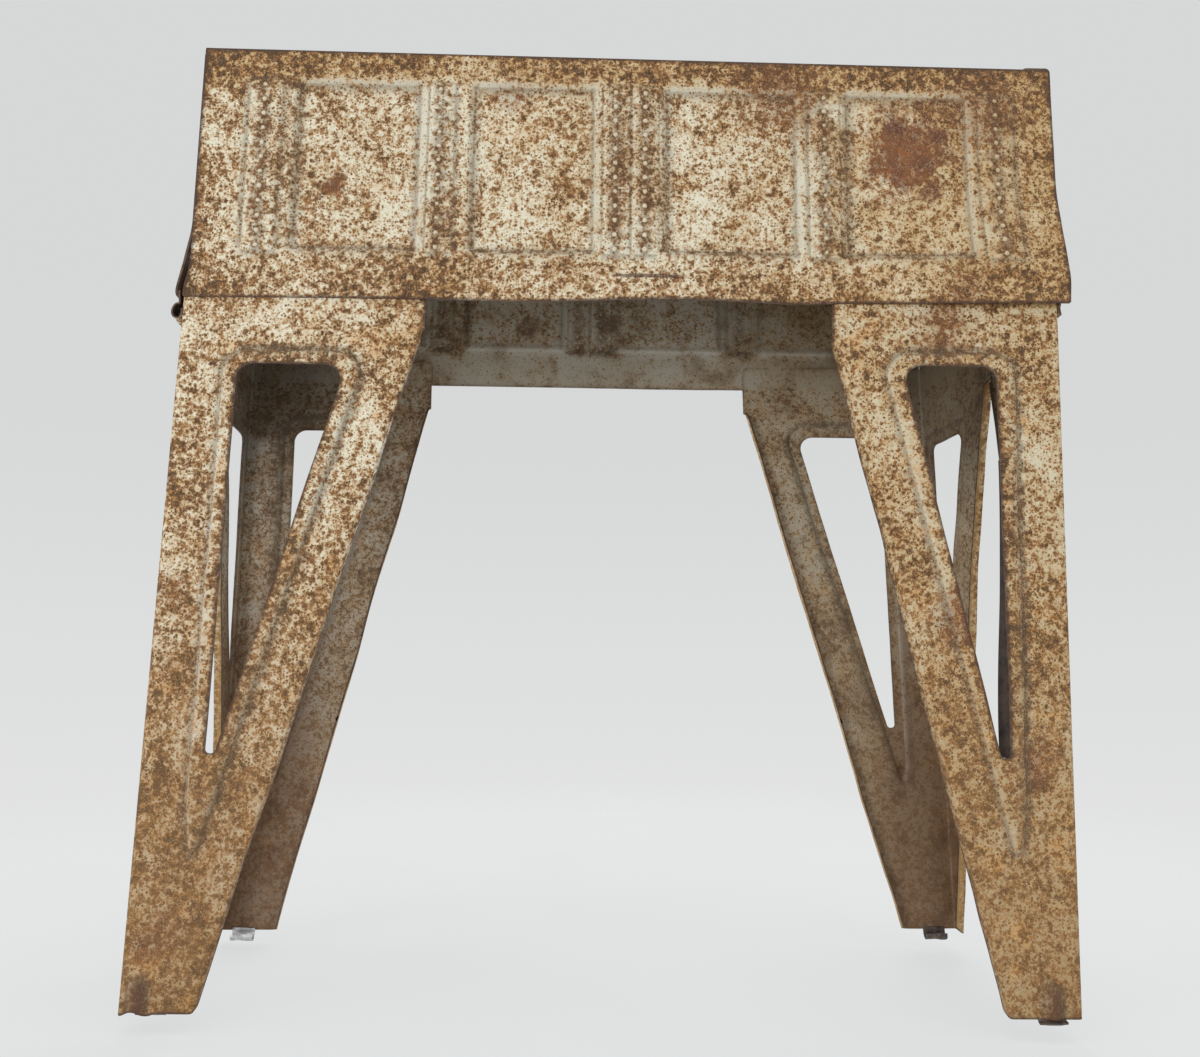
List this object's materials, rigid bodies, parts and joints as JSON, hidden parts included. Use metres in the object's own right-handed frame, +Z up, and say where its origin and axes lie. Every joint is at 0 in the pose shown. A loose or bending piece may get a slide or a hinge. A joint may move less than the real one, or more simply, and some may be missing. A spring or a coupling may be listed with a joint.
{
  "type": "toy gantry frame",
  "caption": "Pressed-tin portal frame of a toy gantry crane: deep riveted-look cap on tapered L-section legs with triangular windows, cream paint gone to rust",
  "frame": {"origin": "under the middle of the object, at the level its lowest tongues stand on", "axes": "+X to the right along the cap, +Y to the rear through the portal, +Z up"},
  "size_m": [0.1932, 0.067, 0.205],
  "materials": {
    "rusted_paint": "cream enamel on tinplate, speckled all over with brown rust, dull",
    "bare_tin": "bare tinned sheet, tarnished, with dull bright spots"
  },
  "bodies": {
    "root": {"cap_channel": "rusted_paint", "left_end_plate": "rusted_paint", "right_end_plate": "rusted_paint", "leg_front_left": "rusted_paint", "leg_front_right": "rusted_paint", "leg_rear_left": "rusted_paint", "leg_rear_right": "rusted_paint", "wheel_bracket_front_left": "bare_tin", "wheel_bracket_front_right": "bare_tin", "wheel_bracket_rear_left": "bare_tin", "wheel_bracket_rear_right": "bare_tin"}
  },
  "joints": []
}
